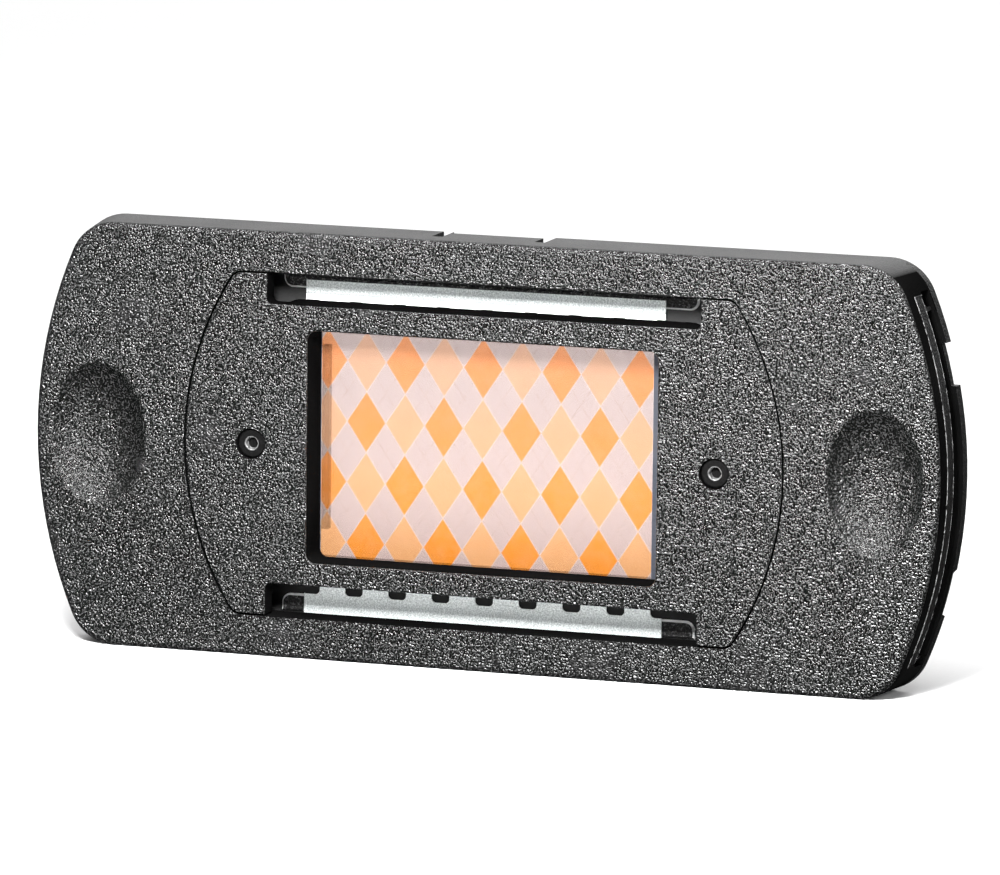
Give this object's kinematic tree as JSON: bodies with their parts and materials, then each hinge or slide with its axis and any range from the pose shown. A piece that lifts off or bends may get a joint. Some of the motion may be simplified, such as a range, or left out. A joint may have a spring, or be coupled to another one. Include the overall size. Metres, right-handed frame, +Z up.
{
  "type": "film chip holder",
  "caption": "Slim flat holder for one frame of 35 mm film, with round ends, thumb dimples, and a lift-off gate plate with a window and finger notches; the film slides in at one end",
  "frame": {"origin": "middle of the bottom long edge, halfway through the thickness", "axes": "+X along the holder towards the end with the film mouth, +Y through the thickness from the front face to the rear, +Z up across the holder's height"},
  "size_m": [0.0998, 0.0068, 0.0446],
  "materials": {
    "body_enamel": "fine cast grain, dark grey, matte",
    "gate_enamel": "fine cast grain, dark grey, matte, glossier on the cut edges",
    "screw_steel": "blackened steel",
    "insert_brass": "plain brass",
    "stage_plastic": "flat black",
    "rail_steel": "bead-blasted steel with polished edges",
    "film": "pale 35 mm film with a printed lozenge pattern in orange",
    "pin_steel": "ground steel"
  },
  "bodies": {
    "holder": {"front_shell": "body_enamel", "rear_cover": "body_enamel", "thread_insert_left": "insert_brass", "thread_insert_right": "insert_brass", "film_stage": "stage_plastic", "film_rail_top": "rail_steel", "film_rail_bottom": "rail_steel", "cover_screw_top_left": "screw_steel", "cover_screw_top_right": "screw_steel", "cover_screw_bottom_left": "screw_steel", "cover_screw_bottom_right": "screw_steel", "dowel_pin_left": "pin_steel", "dowel_pin_right": "pin_steel"},
    "gate": {"gate_plate": "gate_enamel"},
    "screw_left": {"gate_screw_left": "screw_steel"},
    "screw_right": {"gate_screw_right": "screw_steel"},
    "film": {"film_chip": "film"}
  },
  "joints": [
    {"name": "gate_lift", "type": "slide", "parent": "holder", "child": "gate", "axis": [0, -1, 0], "range_m": [0, 0.03]},
    {"name": "screw_left_turn", "type": "hinge", "parent": "gate", "child": "screw_left", "pos_m": [-0.02505, 0, 0.0223], "axis": [0, -1, 0], "continuous": true},
    {"name": "screw_right_turn", "type": "hinge", "parent": "gate", "child": "screw_right", "pos_m": [0.02505, 0, 0.0223], "axis": [0, -1, 0], "continuous": true},
    {"name": "film_slide", "type": "slide", "parent": "holder", "child": "film", "axis": [1, 0, 0], "range_m": [-0.0025, 0.072]}
  ]
}
